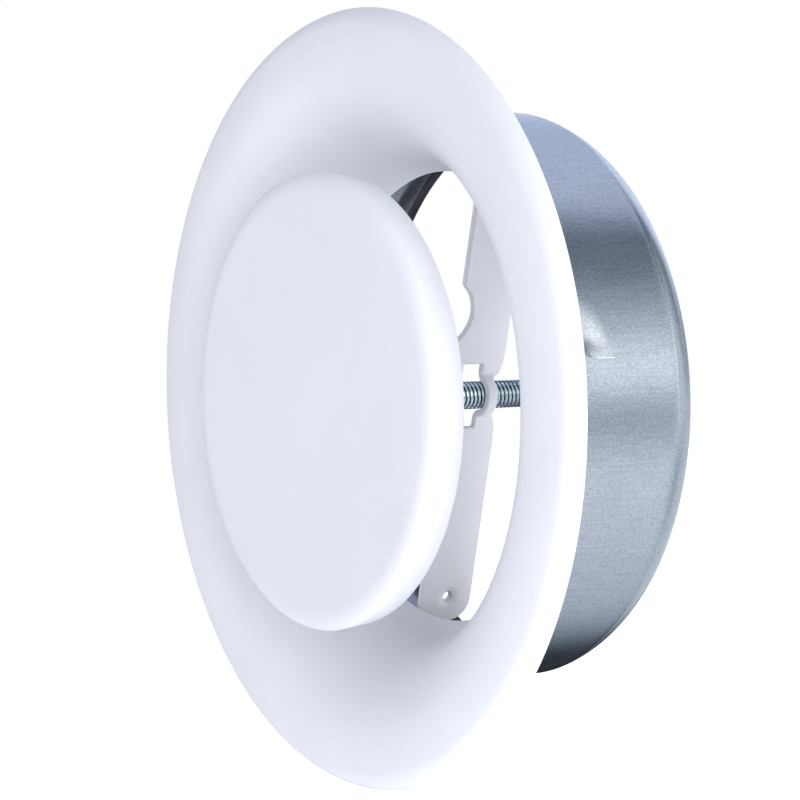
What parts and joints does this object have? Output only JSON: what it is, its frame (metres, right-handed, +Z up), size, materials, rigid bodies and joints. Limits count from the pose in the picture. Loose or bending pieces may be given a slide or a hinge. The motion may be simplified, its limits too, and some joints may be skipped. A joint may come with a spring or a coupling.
{
  "type": "ceiling air diffuser",
  "caption": "Round disc air valve with a flared white flange and a disc on a threaded spindle, held in a flanged galvanised mounting collar.",
  "frame": {"origin": "on the duct axis, in the plane of the wall or ceiling face that the collar's flange and the ring's rim rest on", "axes": "+Y runs into the duct and -Y into the room, +X is to the right as seen from the room, +Z is up as in the picture; in a ceiling -Y points down"},
  "size_m": [0.164, 0.0652, 0.164],
  "materials": {
    "white_coated_steel": "satin white powder coat",
    "galvanised_steel": "galvanised, drawn sheet",
    "zinc_plated_steel": "bright zinc plate",
    "grey_foam": "soft closed-cell foam"
  },
  "bodies": {
    "collar": {"mounting_collar": "galvanised_steel"},
    "valve_body": {"diffuser_ring": "white_coated_steel", "foam_gasket": "grey_foam", "crossbar": "white_coated_steel"},
    "stop_clip": {"end_clip": "zinc_plated_steel"},
    "valve_disc": {"disc_shell": "white_coated_steel", "hub_plate": "zinc_plated_steel", "spindle": "zinc_plated_steel", "hub_washer": "zinc_plated_steel", "hub_nut": "zinc_plated_steel"}
  },
  "joints": [
    {"name": "bayonet_turn", "type": "hinge", "parent": "collar", "child": "valve_body", "pos_m": [0, 0, 0], "axis": [0, 1, 0], "range_deg": [0, 60]},
    {"name": "disc_travel", "type": "slide", "parent": "valve_body", "child": "stop_clip", "axis": [0, 1, 0], "range_m": [-0.0121, 0.0201]},
    {"name": "disc_turn", "type": "hinge", "parent": "stop_clip", "child": "valve_disc", "pos_m": [0, 0, 0], "axis": [0, 1, 0], "range_deg": [-4320, 7200]}
  ],
  "couplings": [
    {"joint": "disc_travel", "follows": "disc_turn", "m_per_rad": 0.00015915}
  ]
}
